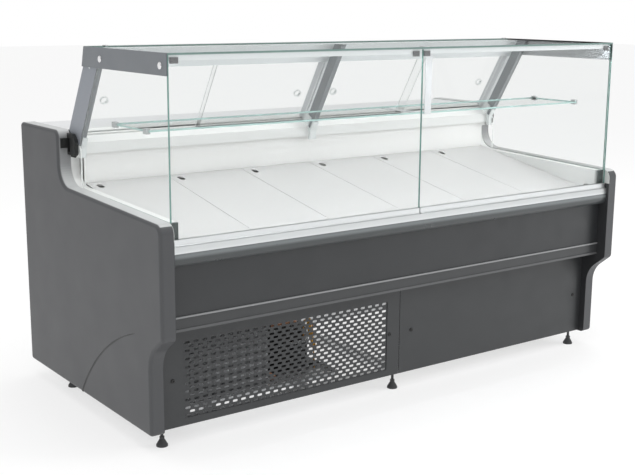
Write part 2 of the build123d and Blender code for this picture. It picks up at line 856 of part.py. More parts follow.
def deck():
    pitch = 2 * liner_half / deck_panels
    return [deck_panel(-liner_half + index * pitch + deck_gap / 2, -liner_half + (index + 1) * pitch - deck_gap / 2)
            for index in range(deck_panels)]


save("duct_panel", duct_panel())
save("deck_panels", *deck())


# ---------------------------------------------------------------- evaporator under the deck
evaporator_half = 600
evaporator_front = 400
evaporator_depth = 130
evaporator_height = 110
fan_plate_front = 300
fan_x = 300
fan_radius = 70
fan_tip_gap = 5
fan_height = 560
fan_width = 26
evaporator_fan_front = fan_plate_front + 12
evaporator_motor_front = fan_plate_front + 44
shaft_radius = 4
shaft_clearance = 0.05
shaft_in_motor = 20


def evaporator():
    low_z = tub_floor + 20
    core = block(-evaporator_half, evaporator_half, evaporator_front, evaporator_front + evaporator_depth,
                 low_z, low_z + evaporator_height)
    for x in (-evaporator_half, evaporator_half):
        core += block(x - 3, x + 3, evaporator_front - 8, evaporator_front + evaporator_depth + 8,
                      tub_floor, low_z + evaporator_height + 6)
    return core


def fan_blades(x, front, z, radius, hub_radius, width, blades, motor_front):
    """Pitched blades on a round hub, turning about a line along Y, with a shaft that enters the motor."""
    hub = rod_y(x, front, front + width, z, hub_radius)
    shaft = rod_y(x, front + width - 1, motor_front + shaft_in_motor, z, shaft_radius)
    middle = Pos(x, behind(front + width / 2), z)
    for index in range(blades):
        blade = Pos(0, 0, (radius + hub_radius) / 2) * Rot(0, 0, 28) * Box(radius * 0.62, 2, radius - hub_radius + 6)
        hub += middle * Rot(0, index * 360 / blades, 0) * blade
    return (hub & rod_y(x, front, front + width, z, radius)) + shaft


def motor_body(x, front, length, z, radius):
    """A round motor with a bearing bore for the fan's shaft."""
    bore = rod_y(x, front - 1, front + shaft_in_motor + 2, z, shaft_radius + shaft_clearance)
    return rod_y(x, front, front + length, z, radius) - bore


def evaporator_fan_plate():
    plate = block(-evaporator_half - 40, evaporator_half + 40, fan_plate_front, fan_plate_front + sheet,
                  tub_floor, fan_height + fan_radius + 40)
    motors = []
    for x in (-fan_x, fan_x):
        plate -= rod_y(x, fan_plate_front - 1, fan_plate_front + sheet + 1, fan_height, fan_radius + fan_tip_gap)
        motor = motor_body(x, evaporator_motor_front, 40, fan_height, 28)
        arm = block(x - fan_radius - 20, x + fan_radius + 20, evaporator_motor_front, evaporator_motor_front + 6,
                    fan_height - 8, fan_height + 8)
        arm -= rod_y(x, evaporator_motor_front - 1, evaporator_motor_front + 7, fan_height, 20)
        stays = Part()
        for side in (-1, 1):
            stay_x = x + side * (fan_radius + 14)
            stays += block(stay_x - 3, stay_x + 3, fan_plate_front + sheet, evaporator_motor_front + 1,
                           fan_height - 8, fan_height + 8)
        motors.append(motor + arm + stays)
    return plate, *motors


save("evaporator", evaporator())
save("evaporator_fan_plate", *evaporator_fan_plate())
for side, name in ((-1, "left"), (1, "right")):
    save(f"evaporator_fan_{name}", fan_blades(side * fan_x, evaporator_fan_front, fan_height, fan_radius, 20,
                                              fan_width, 5, evaporator_motor_front))


# ---------------------------------------------------------------- condensing unit
tray_left = -835
tray_right = -215
tray_front = 195
tray_rear = 540
tray_lip = 98
condenser_left = -818
condenser_right = -511
condenser_front = 203
condenser_depth = 55
condenser_top = 313
shroud_sheet = 3
condenser_fan_radius = 88
compressor_x = -335
compressor_behind = 375
compressor_radius = 92
compressor_top = 262
tray_floor = frame_top + 3
condenser_middle = (condenser_left + condenser_right) / 2
condenser_fan_height = (tray_floor + condenser_top) / 2
shroud_front = condenser_front + condenser_depth
condenser_motor_front = shroud_front + 42


def unit_tray():
    outer = block(tray_left, tray_right, tray_front, tray_rear, frame_top, tray_lip)
    inner = block(tray_left + sheet, tray_right - sheet, tray_front + sheet, tray_rear - sheet, tray_floor,
                  tray_lip + 1)
    return outer - inner


def condenser():
    core = block(condenser_left + 3, condenser_right - 3, condenser_front, condenser_front + condenser_depth,
                 tray_floor + 6, condenser_top - 6)
    for x in (condenser_left, condenser_right - 3):
        core += block(x, x + 3, condenser_front, condenser_front + condenser_depth, tray_floor, condenser_top)
    return core


def fan_shroud():
    plate = block(condenser_left, condenser_right + 15, shroud_front, shroud_front + shroud_sheet,
                  tray_floor, condenser_top + 14)
    collar = rod_y(condenser_middle, shroud_front, shroud_front + 30, condenser_fan_height,
                   condenser_fan_radius + 8)
    throat = rod_y(condenser_middle, shroud_front - 1, shroud_front + 31, condenser_fan_height,
                   condenser_fan_radius + 5)
    arm_reach = condenser_fan_radius + 22
    arm = block(condenser_middle - arm_reach, condenser_middle + arm_reach, condenser_motor_front,
                condenser_motor_front + 6, condenser_fan_height - 9, condenser_fan_height + 9)
    arm -= rod_y(condenser_middle, condenser_motor_front - 1, condenser_motor_front + 7, condenser_fan_height, 20)
    motor = motor_body(condenser_middle, condenser_motor_front, 50, condenser_fan_height, 36) + arm
    for side in (-1, 1):
        stay_x = condenser_middle + side * (arm_reach - 4)
        motor += block(stay_x - 4, stay_x + 4, shroud_front + shroud_sheet, condenser_motor_front + 1,
                       condenser_fan_height - 9, condenser_fan_height + 9)
    return plate + collar - throat, motor


def compressor():
    """Hermetic shell on a foot plate, with its terminal cover."""
    shell_low = tray_floor + 12
    shell = rod_z(compressor_x, compressor_behind, shell_low, compressor_top, compressor_radius)
    shell = fillet(shell.faces().sort_by(Axis.Z)[-1].edges(), 55)
    shell = fillet(shell.faces().sort_by(Axis.Z)[0].edges(), 20)
    foot = block(compressor_x - 105, compressor_x + 105, compressor_behind - 70, compressor_behind + 70,
                 tray_floor, shell_low + 8)
    cover = block(compressor_x - 28, compressor_x + 28, compressor_behind - compressor_radius - 26,
                  compressor_behind - compressor_radius + 12, shell_low + 40, shell_low + 110)
    cover -= rod_z(compressor_x, compressor_behind, shell_low, compressor_top, compressor_radius)
    lead = tube([(compressor_x + 20, compressor_behind - compressor_radius - 14, shell_low + 110),
                 (compressor_x + 20, compressor_behind - compressor_radius - 14, shell_low + 200),
                 (compressor_x + 52, compressor_behind - compressor_radius - 24, shell_low + 165),
                 (compressor_x + 62, compressor_behind - compressor_radius - 24, tray_lip)], 2.5, 10)
    return shell + foot, cover, lead


def pipework():
    """Discharge, liquid and suction lines."""
    discharge = tube([(compressor_x - 40, compressor_behind, compressor_top - 14),
                      (compressor_x - 40, compressor_behind, compressor_top + 34),
                      (compressor_x - 40, condenser_front + 20, compressor_top + 34),
                      (condenser_right + 30, condenser_front + 20, compressor_top + 34)], 5, 18)
    liquid = tube([(condenser_right + 30, condenser_front + 25, tray_floor + 22),
                   (condenser_right + 60, condenser_front + 25, tray_floor + 22),
                   (condenser_right + 60, riser_behind - 30, tray_floor + 22),
                   (condenser_right + 60, riser_behind - 30, tub_bottom - 30),
                   (riser_x - 40, riser_behind - 30, tub_bottom - 30)], 4, 18)
    suction = tube([(riser_x, compressor_behind + 20, compressor_top - 18),
                    (riser_x, compressor_behind + 20, compressor_top + 60),
                    (riser_x, riser_behind, compressor_top + 60),
                    (riser_x, riser_behind, tub_floor + 60),
                    (riser_x, evaporator_front + evaporator_depth, tub_floor + 60)], riser_radius, 22)
    return discharge, liquid, suction


save("unit_tray", unit_tray())
save("condenser", condenser())
save("fan_shroud", *fan_shroud())
save("condenser_fan", fan_blades(condenser_middle, shroud_front + 6, condenser_fan_height,
                                 condenser_fan_radius, 26, 28, 5, condenser_motor_front))
save("compressor", *compressor())
save("pipework", *pipework())


# ---------------------------------------------------------------- worktop and rear
def worktop():
    slab = block(-inner_half, inner_half, beam_rear, worktop_rear, worktop_height - worktop_thickness,
                 worktop_height)
    edge = block(-inner_half, inner_half, worktop_rear - 3, worktop_rear, worktop_height - worktop_thickness - apron,
                 worktop_height - worktop_thickness)
    return slab + edge


def rear_panel():
    """Folded sheet behind the tub: a face, a fold under the worktop and a floor to the uprights."""
    front = rear_rail_middle + upright_size / 2
    top = worktop_height - worktop_thickness
    profile = outline([
        (front, tub_bottom), (rear_panel_behind + sheet, tub_bottom), (rear_panel_behind + sheet, top),
        (rear_panel_behind - 20, top), (rear_panel_behind - 20, top - sheet), (rear_panel_behind, top - sheet),
        (rear_panel_behind, tub_bottom + sheet), (front, tub_bottom + sheet),
    ])
    return along(profile, -inner_half, inner_half)


def rocker_pin(rear, middle_z, beyond, spare):
    """The round pin that the rocker tips on, reaching beyond its sides into the box."""
    reach = rocker_half_width + beyond
    return rod_x(rocker_x - reach, rocker_x + reach, rear - rocker_pivot_depth,
                 middle_z, rocker_pin_radius + spare)


def control_box():
    rear = rear_panel_behind + sheet + control_depth
    body = block(control_x - control_half, control_x + control_half, rear_panel_behind + sheet, rear,
                 control_low, control_high)
    body = fillet(body.edges().filter_by(Axis.Y), 8)
    body -= block(control_x - 90, control_x + 10, rear - 2, rear + 1, control_low + 28, control_high - 28)
    middle_z = (control_low + control_high) / 2
    body -= block(rocker_x - rocker_half_width - 1, rocker_x + rocker_half_width + 1, rear - 16, rear + 1,
                  middle_z - rocker_half_height - 3, middle_z + rocker_half_height + 3)
    body -= rocker_pin(rear, middle_z, 4, rocker_pin_clearance)
    gland = rod_z(control_x - 120, rear_panel_behind + sheet + control_depth / 2, control_low - 22, control_low, 9)
    return body + gland


def rocker_switch():
    """Rocker with a shallow V face, resting tipped about its pivot, which runs along X."""
    rear = rear_panel_behind + sheet + control_depth
    middle_z = (control_low + control_high) / 2
    face = outline([
        (rear - 8, middle_z - rocker_half_height), (rear + 4, middle_z - rocker_half_height, 1),
        (rear + 1, middle_z), (rear + 4, middle_z + rocker_half_height, 1),
        (rear - 8, middle_z + rocker_half_height),
    ])
    rocker = along(face, rocker_x - rocker_half_width, rocker_x + rocker_half_width)
    rocker += rocker_pin(rear, middle_z, 3, 0)
    return rocker.rotate(Axis((0, behind(rear - rocker_pivot_depth), middle_z), (1, 0, 0)), rocker_tilt)


save("worktop", worktop())
save("rear_panel", rear_panel())
save("control_box", control_box())
save("rocker_switch", rocker_switch())
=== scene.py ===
"""Looks of the refrigerated deli case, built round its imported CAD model.

Everything is in metres, in the model's own frame: X along the case, the customer's side at -Y, Z up.
"""
import bmesh
import bpy
import math
from mathutils import Matrix, Vector


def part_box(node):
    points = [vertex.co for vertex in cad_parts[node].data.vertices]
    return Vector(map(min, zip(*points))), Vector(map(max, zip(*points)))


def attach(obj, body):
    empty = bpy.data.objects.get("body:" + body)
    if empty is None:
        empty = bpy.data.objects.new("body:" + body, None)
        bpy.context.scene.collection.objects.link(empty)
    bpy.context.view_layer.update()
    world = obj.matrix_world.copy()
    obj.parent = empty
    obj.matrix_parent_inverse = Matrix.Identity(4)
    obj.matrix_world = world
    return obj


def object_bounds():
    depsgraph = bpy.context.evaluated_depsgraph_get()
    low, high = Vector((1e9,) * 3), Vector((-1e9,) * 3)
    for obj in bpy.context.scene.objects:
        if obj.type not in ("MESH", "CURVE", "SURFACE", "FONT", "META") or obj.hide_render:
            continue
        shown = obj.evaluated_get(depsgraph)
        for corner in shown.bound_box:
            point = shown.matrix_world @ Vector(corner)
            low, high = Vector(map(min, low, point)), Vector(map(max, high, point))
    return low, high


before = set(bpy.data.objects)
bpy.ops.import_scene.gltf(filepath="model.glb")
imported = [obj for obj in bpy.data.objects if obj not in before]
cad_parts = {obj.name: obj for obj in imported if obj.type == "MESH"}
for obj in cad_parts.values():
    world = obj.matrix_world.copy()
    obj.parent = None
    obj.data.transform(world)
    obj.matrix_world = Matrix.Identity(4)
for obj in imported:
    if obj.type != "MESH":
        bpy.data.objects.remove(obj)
cad_low, cad_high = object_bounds()

# Side panels and posts
PANEL_THICKNESS = 0.048
PANEL_INNER = cad_high.x - PANEL_THICKNESS
# Lowest height of the painted highlight on the side panels' rim
PAINTED_LIGHT_RIM_BOTTOM = 0.738
POST_LEAN = math.radians(30.8)
POST_GROOVE_OFFSET = 0.033
POST_GROOVE_HALF = 0.0065
BEAM_LIP_HEIGHT = 0.040

# Compressor, its terminal cover and the lead in front of it
COMPRESSOR_X = -0.335
COMPRESSOR_BEHIND = 0.375
COMPRESSOR_RADIUS = 0.092
WELD_HEIGHT = 0.105
WELD_STANDS_OUT = 0.002
WELD_HALF = 0.003
COVER_TOP = 0.2065
COVER_RIGHT = -0.300
LEAD_REAR = cad_low.y + 0.277
LEAD_FRONT = cad_low.y + 0.249
LEAD_RADIUS = 0.0045

# Patterns in the materials
ALONG_X = (1, 60, 60)
SPANGLES_PER_METRE = 70
THREAD_PITCH = 0.0015
FIN_PITCH = 0.005

# Control window and screws at the back
WINDOW_X = (0.342, 0.438)
WINDOW_Z = (0.820, 0.850)
SCREW_RADIUS = 0.005
SCREW_ROW = (-0.93, -0.62, -0.31, 0.0, 0.20, 0.62, 0.93)

# Viewpoint: degrees, metres, and millimetres for the lens and its sensor
CAMERA_PLACE = (-2.505, -3.341, 1.384)
CAMERA_YAW = 36.10
CAMERA_PITCH = 11.99
CAMERA_ROLL = 0.40
CAMERA_LENS = 62.74
CAMERA_SENSOR = 36

# Brightness of the sky at its horizon and overhead, and the size of the floor
HORIZON_LIGHT = 0.28
SKY_LIGHT = 1.15
FLOOR_HALF = 30


# ---------------------------------------------------------------- material helpers
class Surface:
    """A node material with one Principled shader and short calls for its patterns."""

    def __init__(self, name):
        self.material = bpy.data.materials.new(name)
        self.material.use_nodes = True
        self.tree = self.material.node_tree
        self.shader = self.tree.nodes["Principled BSDF"]
        self.output = self.tree.nodes["Material Output"]
        self.place = self.node("ShaderNodeTexCoord").outputs["Object"]

    def node(self, kind, **settings):
        made = self.tree.nodes.new(kind)
        for key, value in settings.items():
            setattr(made, key, value)
        return made

    def join(self, source, target):
        self.tree.links.new(source, target)

    def stretched(self, scale):
        """Object coordinates scaled along each axis."""
        mapping = self.node("ShaderNodeMapping")
        mapping.inputs["Scale"].default_value = scale
        self.join(self.place, mapping.inputs["Vector"])
        return mapping.outputs["Vector"]

    def noise(self, scale, detail=3.0, stretch=(1, 1, 1), roughness=0.5):
        made = self.node("ShaderNodeTexNoise")
        made.inputs["Scale"].default_value = scale
        made.inputs["Detail"].default_value = detail
        made.inputs["Roughness"].default_value = roughness
        self.join(self.stretched(stretch), made.inputs["Vector"])
        return made.outputs["Fac"]

    def ranged(self, value, low, high, to_low, to_high, smooth=False):
        """The value carried from the span low to high onto the span to_low to to_high."""
        made = self.node("ShaderNodeMapRange")
        made.interpolation_type = "SMOOTHSTEP" if smooth else "LINEAR"
        limits = {"From Min": low, "From Max": high, "To Min": to_low, "To Max": to_high}
        for socket, number in limits.items():
            made.inputs[socket].default_value = number
        self.join(value, made.inputs["Value"])
        return made.outputs["Result"]

    def math(self, operation, first, second=None):
        made = self.node("ShaderNodeMath", operation=operation)
        for socket, value in zip(made.inputs, (first, second)):
            if value is None:
                continue
            if isinstance(value, (int, float)):
                socket.default_value = value
            else:
                self.join(value, socket)
        return made.outputs[0]

    def axis_value(self, axis, source=None):
        made = self.node("ShaderNodeSeparateXYZ")
        self.join(source or self.place, made.inputs[0])
        return made.outputs[axis]

    def blend(self, factor, first, second):
        """Colour between first and second; each is a colour or another node's output."""
        made = self.node("ShaderNodeMix", data_type="RGBA")
        self.join(factor, made.inputs[0])
        for socket, value in ((made.inputs[6], first), (made.inputs[7], second)):
            if isinstance(value, (tuple, list)):
                socket.default_value = (*value[:3], 1)
            else:
                self.join(value, socket)
        return made.outputs[2]

    def true_normal(self):
        """The way a face looks in its own piece's frame, so it stays the same when the piece turns."""
        made = self.node("ShaderNodeVectorTransform", vector_type="NORMAL", convert_from="WORLD",
                         convert_to="OBJECT")
        self.join(self.node("ShaderNodeNewGeometry").outputs["True Normal"], made.inputs["Vector"])
        return made.outputs["Vector"]

    def varied(self, colour, amount, scale=2.5):
        """The colour with soft cloudy changes of brightness."""
        dark = [channel * (1 - amount) for channel in colour]
        light = [min(1, channel * (1 + amount)) for channel in colour]
        return self.blend(self.noise(scale, 4), dark, light)

    def colour(self, value):
        self.join(value, self.shader.inputs["Base Color"])

    def roughness(self, low, high, scale=14):
        patches = self.noise(scale, 4)
        self.join(self.ranged(patches, 0.3, 0.7, low, high), self.shader.inputs["Roughness"])

    def bump(self, height, strength, distance):
        made = self.node("ShaderNodeBump")
        made.inputs["Strength"].default_value = strength
        made.inputs["Distance"].default_value = distance
        self.join(height, made.inputs["Height"])
        self.join(made.outputs["Normal"], self.shader.inputs["Normal"])

    def constant(self, **values):
        """Sets shader sockets that are the same all over; an underscore stands for a space."""
        for key, value in values.items():
            self.shader.inputs[key.replace("_", " ")].default_value = value


def coated(name, colour, rough, grain=900, depth=0.00006, mottle=0.05):
    """Powder coat, enamel or moulded plastic: fine orange-peel grain and soft mottling."""
    surface = Surface(name)
    surface.colour(surface.varied(colour, mottle))
    surface.roughness(*rough)
    surface.bump(surface.noise(grain, 2), 0.35, depth)
    return surface.material


def metal(name, colour, rough, metallic=1.0):
    """Drawn or brushed metal, with its fine lines along X."""
    mottle = 0.06
    surface = Surface(name)
    lines = surface.noise(30, 5, ALONG_X, 0.65)
    dark = [channel * (1 - mottle) for channel in colour]
    light = [min(1, channel * (1 + mottle)) for channel in colour]
    surface.colour(surface.blend(lines, dark, light))
    surface.join(surface.ranged(lines, 0.3, 0.7, *rough), surface.shader.inputs["Roughness"])
    surface.bump(lines, 0.3, 0.00004)
    surface.constant(Metallic=metallic, Anisotropic=0.5)
    return surface.material


# ---------------------------------------------------------------- materials
def side_panel_material():
    """Grey moulded panel: painted highlight on the rim, paler where it faces up, and painted shade on the
    inner sheet beside the front trims.
    """
    surface = Surface("side_panel_grey")
    side = surface.math("ABSOLUTE", surface.axis_value("X"))
    inner = surface.ranged(side, PANEL_INNER + 0.0005, PANEL_INNER + 0.002, 1, 0)
    outer_colour = surface.varied((0.064, 0.066, 0.070), 0.012, 1.8)
    sideways = surface.math("ABSOLUTE", surface.axis_value("X", surface.true_normal()))
    upward = surface.ranged(surface.axis_value("Z", surface.true_normal()), 0.0, 0.9, 0, 1)
    on_display = surface.math("GREATER_THAN", surface.axis_value("Z"), PAINTED_LIGHT_RIM_BOTTOM)
    # Painted highlight: the rim is pale, and paler still where it faces up, as if lit from above
    rim = surface.math("MULTIPLY", surface.ranged(sideways, 0.1, 0.45, 1, 0), on_display)
    rim_painted_highlight = surface.blend(upward, (0.26, 0.265, 0.27), (0.48, 0.49, 0.49))
    outer_and_rim = surface.blend(rim, outer_colour, rim_painted_highlight)
    trims_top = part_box("glass_sill")[1].z + 0.01
    beside_trims = surface.math("LESS_THAN", surface.axis_value("Z"), trims_top)
    # Painted shade: the inner sheet is dark beside the front trims and pale above them
    inner_with_painted_shade = surface.blend(beside_trims, (0.50, 0.51, 0.50), (0.026, 0.027, 0.029))
    surface.colour(surface.blend(inner, outer_and_rim, inner_with_painted_shade))
    surface.roughness(0.43, 0.48, 9)
    surface.bump(surface.noise(1100, 2), 0.3, 0.00008)
    surface.constant(Specular_IOR_Level=0.45)
    return surface.material


def end_wall_material():
    """Pale inner end walls, each with a darker front edge where it meets the bumper."""
    surface = Surface("end_wall_pale")
    front = surface.ranged(surface.axis_value("Y"), cad_low.y + 0.034, cad_low.y + 0.05, 1, 0)
    pale = surface.varied((0.76, 0.77, 0.76), 0.02, 3)
    surface.colour(surface.blend(front, pale, (0.06, 0.072, 0.071)))
    surface.roughness(0.38, 0.5, 10)
    surface.bump(surface.noise(900, 2), 0.25, 0.00006)
    return surface.material


def glass_material(name, normal, edge_colour=(0.13, 0.24, 0.215), pale_behind=None):
    """Clear float glass: broad faces see-through with a faint mirror, ground edges green.

    normal is the direction that the sheet's broad faces look along.  Edges further to the rear
    than pale_behind are colourless.
    """
    surface = Surface(name)
    facing = surface.node("ShaderNodeVectorMath", operation="DOT_PRODUCT")
    surface.join(surface.true_normal(), facing.inputs[0])
    facing.inputs[1].default_value = normal
    on_edge = surface.ranged(surface.math("ABSOLUTE", facing.outputs["Value"]), 0.6, 0.9, 1, 0)
    see_through = surface.node("ShaderNodeBsdfTransparent")
    see_through.inputs["Color"].default_value = (0.983, 0.987, 0.986, 1)
    mirror = surface.node("ShaderNodeBsdfGlossy")
    mirror.inputs["Roughness"].default_value = 0.03
    grazing = surface.node("ShaderNodeLayerWeight")
    grazing.inputs["Blend"].default_value = 0.5
    sharp = surface.math("POWER", grazing.outputs["Facing"], 5.0)
    clear = surface.node("ShaderNodeMixShader")
    surface.join(surface.ranged(sharp, 0, 1, 0.012, 0.12), clear.inputs[0])
    surface.join(see_through.outputs[0], clear.inputs[1])
    surface.join(mirror.outputs[0], clear.inputs[2])
    light_edge = [min(1, channel * 1.5) for channel in edge_colour]
    edge = surface.blend(surface.noise(24, 3), edge_colour, light_edge)
    if pale_behind is not None:
        behind_place = surface.math("GREATER_THAN", surface.axis_value("Y"), pale_behind)
        edge = surface.blend(behind_place, edge, (0.72, 0.74, 0.73))
    surface.colour(edge)
    surface.constant(Roughness=0.18, Specular_IOR_Level=0.6)
    whole = surface.node("ShaderNodeMixShader")
    surface.join(on_edge, whole.inputs[0])
    surface.join(clear.outputs[0], whole.inputs[1])
    surface.join(surface.shader.outputs[0], whole.inputs[2])
    surface.join(whole.outputs[0], surface.output.inputs["Surface"])
    return surface.material


def post_material():
    """Anodised post: pale behind its side grooves, darker ahead of them, and painted light within them."""
    surface = Surface("post_aluminium")
    groove_middle = beam_lip_across_lean() + POST_GROOVE_OFFSET
    across = surface.node("ShaderNodeVectorMath", operation="DOT_PRODUCT")
    surface.join(surface.place, across.inputs[0])
    across.inputs[1].default_value = (0, math.cos(POST_LEAN), math.sin(POST_LEAN))
    off_middle = surface.math("ABSOLUTE", surface.math("SUBTRACT", across.outputs["Value"], groove_middle))
    outer_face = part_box("right_post")[1].x - 0.0005
    inside = surface.math("LESS_THAN", surface.math("ABSOLUTE", surface.axis_value("X")), outer_face)
    near_middle = surface.ranged(off_middle, POST_GROOVE_HALF, POST_GROOVE_HALF + 0.001, 1, 0)
    groove_painted_light = surface.math("MULTIPLY", near_middle, inside)
    lines = surface.noise(40, 4, (12, 12, 12))
    rear_part = surface.blend(lines, (0.60, 0.62, 0.635), (0.68, 0.70, 0.715))
    front_part = surface.blend(lines, (0.26, 0.275, 0.285), (0.32, 0.335, 0.345))
    ahead = surface.math("LESS_THAN", across.outputs["Value"], groove_middle)
    body = surface.blend(ahead, rear_part, front_part)
    side_and_body = surface.blend(inside, (0.30, 0.32, 0.355), body)
    # Painted light: a bright line along each side groove
    surface.colour(surface.blend(groove_painted_light, side_and_body, (0.88, 0.90, 0.91)))
    surface.join(surface.ranged(lines, 0.3, 0.7, 0.34, 0.46), surface.shader.inputs["Roughness"])
    surface.bump(lines, 0.2, 0.00003)
    surface.constant(Metallic=0.55)
    return surface.material


def beam_lip_across_lean():
    """Distance of the rear beam's front lip from the origin, measured square to the posts' lean."""
    low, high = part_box("rear_beam")
    return low.y * math.cos(POST_LEAN) + (high.z - BEAM_LIP_HEIGHT) * math.sin(POST_LEAN)


def lamp_material():
    """Anodised lamp body with a glowing diffuser let into its underside."""
    surface = Surface("lamp_aluminium")
    low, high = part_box("lamp_housing")
    inset = 0.0062
    y = surface.axis_value("Y")
    inside = surface.math("MULTIPLY", surface.math("GREATER_THAN", y, low.y + inset),
                          surface.math("LESS_THAN", y, high.y - inset))
    under = surface.math("LESS_THAN", surface.axis_value("Z"), low.z + 0.0045)
    raised = surface.math("GREATER_THAN", surface.axis_value("Z"), low.z + 0.0005)
    lit = surface.math("MULTIPLY", surface.math("MULTIPLY", inside, under), raised)
    lines = surface.noise(30, 4, ALONG_X)
    body = surface.blend(lines, (0.70, 0.72, 0.73), (0.80, 0.82, 0.83))
    surface.colour(surface.blend(lit, body, (0.95, 0.96, 1.0)))
    surface.constant(Roughness=0.4, Emission_Color=(0.93, 0.97, 1.0, 1))
    surface.join(surface.math("MULTIPLY", lit, 16.0), surface.shader.inputs["Emission Strength"])
    return surface.material


def fin_material(name, colour, rough):
    """Close upright fins, drawn as gaps darkened with painted shade and raised plates along X."""
    surface = Surface(name)
    phase = surface.math("MULTIPLY", surface.axis_value("X"), 2 * math.pi / FIN_PITCH)
    wave = surface.ranged(surface.math("SINE", phase), -0.4, 0.5, 0, 1, True)
    # Painted shade in the gaps between the fins
    surface.colour(surface.blend(wave, [channel * 0.15 for channel in colour], colour))
    surface.bump(wave, 0.7, FIN_PITCH / 2)
    surface.roughness(*rough)
    surface.constant(Metallic=0.8)
    return surface.material


def fascia_rail_material():
    """Dark rail with a painted highlight along its top lip and a fainter painted highlight along its low
    lip.
    """
    surface = Surface("fascia_rail_grey")
    low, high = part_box("fascia_rail")
    height = surface.axis_value("Z")
    top_lip_highlight = surface.ranged(height, high.z - 0.0055, high.z - 0.0045, 0, 1)
    low_lip_highlight = surface.ranged(height, low.z + 0.008, low.z + 0.0095, 1, 0)
    dark = surface.varied((0.040, 0.042, 0.044), 0.06, 4)
    # Painted highlights where the two lips catch the light
    with_low_highlight = surface.blend(low_lip_highlight, dark, (0.085, 0.087, 0.090))
    surface.colour(surface.blend(top_lip_highlight, with_low_highlight, (0.24, 0.245, 0.25)))
    surface.roughness(0.32, 0.44, 12)
    surface.bump(surface.noise(30, 4, ALONG_X), 0.2, 0.00003)
    return surface.material


def bracket_material():
    """Satin grey brackets; the right one is painted paler, as painted light on its inner side seen through
    the glass.
    """
    surface = Surface("bracket_grey")
    grey = surface.varied((0.160, 0.172, 0.186), 0.03, 4)
    # Painted light: the right bracket is given a paler colour than the left
    right = surface.math("GREATER_THAN", surface.axis_value("X"), 0)
    surface.colour(surface.blend(right, grey, (0.42, 0.43, 0.44)))
    surface.roughness(0.34, 0.46, 12)
    surface.bump(surface.noise(900, 2), 0.3, 0.00006)
    return surface.material


def bumper_material():
    """Soft vinyl nose: painted light along its top and painted shade underneath."""
    surface = Surface("bumper_grey")
    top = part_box("bumper_rail")[1].z
    upper_painted_light = surface.ranged(surface.axis_value("Z"), top - 0.020, top - 0.008, 0, 1, True)
    dark = surface.varied((0.052, 0.058, 0.060), 0.06, 3)
    # Painted light on the top of the nose, painted shade below it
    surface.colour(surface.blend(upper_painted_light, dark, (0.17, 0.185, 0.19)))
    surface.roughness(0.26, 0.38, 14)
    surface.bump(surface.noise(700, 2), 0.3, 0.00004)
    return surface.material


def clamp_material():
    """Dark catches under the top glass and lighter clips at the shelf."""
    surface = Surface("clamp_metal")
    just_over_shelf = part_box("glass_shelf")[1].z + 0.02
    at_shelf = surface.math("LESS_THAN", surface.axis_value("Z"), just_over_shelf)
    dark = surface.varied((0.16, 0.16, 0.165), 0.08, 20)
    surface.colour(surface.blend(at_shelf, dark, (0.40, 0.42, 0.42)))
    surface.roughness(0.3, 0.42, 40)
    surface.bump(surface.noise(600, 2), 0.3, 0.00004)
    return surface.material


def compressor_material():
    """Gloss black enamel; the lead in front of the shell is orange."""
    surface = Surface("compressor_black")
    ahead = surface.math("LESS_THAN", surface.axis_value("Y"), LEAD_REAR)
    above = surface.math("GREATER_THAN", surface.axis_value("Z"), COVER_TOP)
    beside = surface.math("GREATER_THAN", surface.axis_value("X"), COVER_RIGHT)
    lead = surface.math("MULTIPLY", ahead, surface.math("MAXIMUM", above, beside))
    enamel = surface.varied((0.012, 0.012, 0.013), 0.2, 12)
    surface.colour(surface.blend(lead, enamel, (0.70, 0.34, 0.05)))
    surface.roughness(0.2, 0.34, 30)
    surface.bump(surface.noise(250, 2), 0.3, 0.00008)
    return surface.material


def galvanised_material():
    """Zinc-coated sheet with a patchwork of lighter and darker crystals."""
    surface = Surface("galvanised_sheet")
    spangle = surface.node("ShaderNodeTexVoronoi", feature="F1")
    spangle.inputs["Scale"].default_value = SPANGLES_PER_METRE
    surface.join(surface.place, spangle.inputs["Vector"])
    tone = surface.axis_value("X", spangle.outputs["Color"])
    surface.colour(surface.blend(tone, (0.62, 0.63, 0.64), (0.82, 0.83, 0.84)))
    surface.join(surface.ranged(tone, 0, 1, 0.32, 0.5), surface.shader.inputs["Roughness"])
    surface.bump(surface.noise(300, 3), 0.2, 0.00004)
    surface.constant(Metallic=0.5)
    return surface.material


def foot_material():
    """Nylon bell and threaded steel stem, told apart by their distance from the floor."""
    surface = Surface("foot_black")
    height = surface.axis_value("Z")
    thread = surface.math("SINE", surface.math("MULTIPLY", height, 2 * math.pi / THREAD_PITCH))
    on_stem = surface.ranged(height, 0.031, 0.033, 0, 1)
    nylon = surface.varied((0.035, 0.036, 0.038), 0.2, 60)
    surface.colour(surface.blend(on_stem, nylon, (0.05, 0.05, 0.052)))
    surface.bump(surface.math("MULTIPLY", thread, on_stem), 0.6, 0.0004)
    surface.roughness(0.35, 0.55, 60)
    return surface.material


def chrome_material():
    """Bright plated steel with faint smears."""
    surface = Surface("polished_chrome")
    surface.colour(surface.varied((0.82, 0.82, 0.83), 0.03, 30))
    surface.roughness(0.05, 0.12, 80)
    surface.constant(Metallic=1.0)
    return surface.material


def copper_material():
    """Tarnished copper tube."""
    surface = Surface("drawn_copper")
    surface.colour(surface.blend(surface.noise(35, 5), (0.42, 0.20, 0.12), (0.70, 0.40, 0.26)))
    surface.roughness(0.25, 0.45, 60)
    surface.bump(surface.noise(500, 2), 0.15, 0.00003)
    surface.constant(Metallic=1.0)
    return surface.material


def dress(material, *nodes):
    """Gives CAD nodes a finished material."""
    for name in nodes:
        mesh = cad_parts[name].data
        mesh.materials.clear()
        mesh.materials.append(material)


